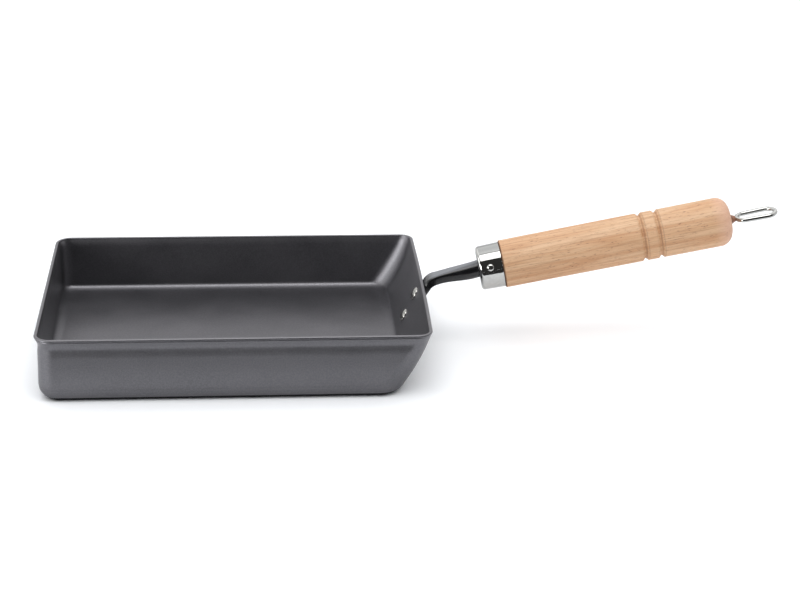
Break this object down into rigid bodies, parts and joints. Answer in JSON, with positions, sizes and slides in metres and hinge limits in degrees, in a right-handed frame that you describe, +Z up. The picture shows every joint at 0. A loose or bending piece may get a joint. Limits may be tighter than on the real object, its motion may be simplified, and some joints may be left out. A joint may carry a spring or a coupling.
{
  "type": "tamagoyaki pan",
  "caption": "Rectangular dark grey steel omelette pan with thin walls, one of them leaning, a thicker base, a riveted steel bracket, a chromed ferrule and a turned beech handle with a hanging eye.",
  "frame": {"origin": "on the base's underside, below the middle of the rim", "axes": "+X from the middle of the pan towards the handle, +Y across the pan, +Z up from the stove"},
  "size_m": [0.3714, 0.1352, 0.0763],
  "materials": {
    "pan_steel": "satin dark grey baked finish on steel",
    "black_steel": "gloss black",
    "rivet_steel": "bright",
    "chromed_steel": "polished",
    "beech": "clear matt, fine grain along the handle"
  },
  "bodies": {
    "root": {"pan_body": "pan_steel", "handle_tang": "black_steel", "upper_rivet": "rivet_steel", "lower_rivet": "rivet_steel", "ferrule": "chromed_steel", "ferrule_pin": "chromed_steel", "wooden_handle": "beech", "hanging_eye": "chromed_steel"}
  },
  "joints": []
}
